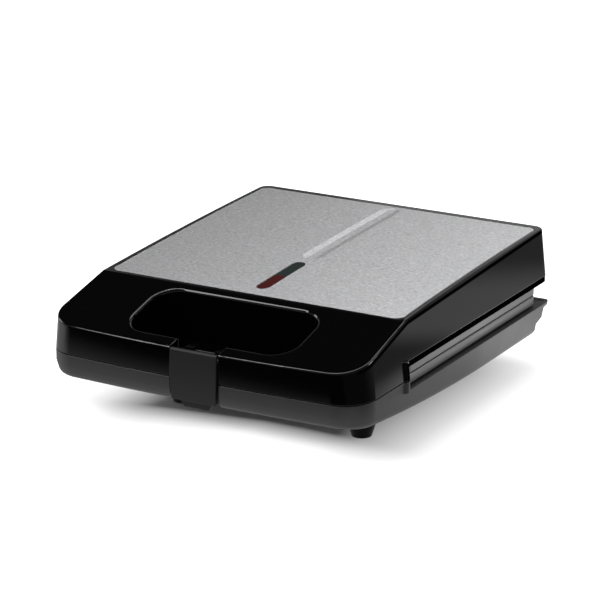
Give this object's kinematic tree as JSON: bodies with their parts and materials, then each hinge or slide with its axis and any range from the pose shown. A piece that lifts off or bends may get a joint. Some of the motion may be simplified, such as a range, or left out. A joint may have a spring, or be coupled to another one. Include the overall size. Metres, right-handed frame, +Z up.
{
  "type": "clamshell toasted-sandwich maker",
  "caption": "Clamshell sandwich toaster in black plastic with a brushed steel lid panel, a handle opening, a front latch and hinged cooking plates.",
  "frame": {"origin": "on the table, under the middle of the closed appliance's bounding box", "axes": "+Z up, -Y towards the handle and latch, +Y towards the hinges, +X to the right seen from the front"},
  "size_m": [0.2468, 0.298, 0.1049],
  "materials": {
    "gloss_black": "high gloss black moulding",
    "satin_black": "satin black moulding",
    "brushed_panel": "fine grain from side to side",
    "cast_plate": "cast, with a dull grey coating",
    "red_lens": "clear dark red",
    "green_lens": "clear dark green",
    "latch_black": "matte black moulding",
    "foot_black": "gloss black moulding",
    "foot_rubber": "matte",
    "heater_sheath": "dark, heat-tinted",
    "shield_sheet": "plain tinned sheet",
    "zinc_screw": "zinc plated",
    "pin_steel": "plain turned",
    "lamp_glass": "clear",
    "white_holder": "natural moulding",
    "switch_body": "unglazed",
    "clip_sheet": "plain sheet",
    "lead_sleeve": "heat-proof silicone sleeve",
    "block_ceramic": "unglazed",
    "brass_screw": "plain",
    "gland_black": "matte"
  },
  "bodies": {
    "base": {"lower_housing": "satin_black", "lower_handle_covers": "satin_black", "lower_cooking_plate": "cast_plate", "lower_heating_element": "heater_sheath", "lower_heat_shield": "shield_sheet", "lower_plate_screws": "zinc_screw", "thermostat": "switch_body", "thermostat_clamp": "clip_sheet", "thermostat_clamp_screw": "zinc_screw", "lower_earth_screw": "zinc_screw", "lower_leads": "lead_sleeve", "terminal_block": "block_ceramic", "terminal_screws": "brass_screw", "cord_gland": "gland_black", "left_hinge_pin": "pin_steel", "right_hinge_pin": "pin_steel", "foot_screws": "zinc_screw", "foot_pads": "foot_rubber", "front_left_foot": "foot_black", "front_right_foot": "foot_black", "rear_left_foot": "foot_black", "rear_right_foot": "foot_black"},
    "lid": {"upper_housing": "gloss_black", "steel_top_panel": "brushed_panel", "power_lens": "red_lens", "ready_lens": "green_lens", "lamp_holder": "white_holder", "indicator_lamps": "lamp_glass", "upper_handle_covers": "satin_black", "upper_cooking_plate": "cast_plate", "upper_heating_element": "heater_sheath", "upper_heat_shield": "shield_sheet", "upper_plate_screws": "zinc_screw", "thermal_fuse": "switch_body", "fuse_clip": "clip_sheet", "fuse_clip_screw": "zinc_screw", "upper_earth_screw": "zinc_screw", "upper_leads": "lead_sleeve", "latch_pin": "pin_steel"},
    "latch": {"latch": "latch_black"}
  },
  "joints": [
    {"name": "lid_hinge", "type": "hinge", "parent": "base", "child": "lid", "pos_m": [0, 0.14455, 0.058], "axis": [-1, 0, 0], "range_deg": [0, 100]},
    {"name": "latch_pivot", "type": "hinge", "parent": "lid", "child": "latch", "pos_m": [0, -0.14145, 0.0723], "axis": [-1, 0, 0], "range_deg": [0, 40]}
  ]
}
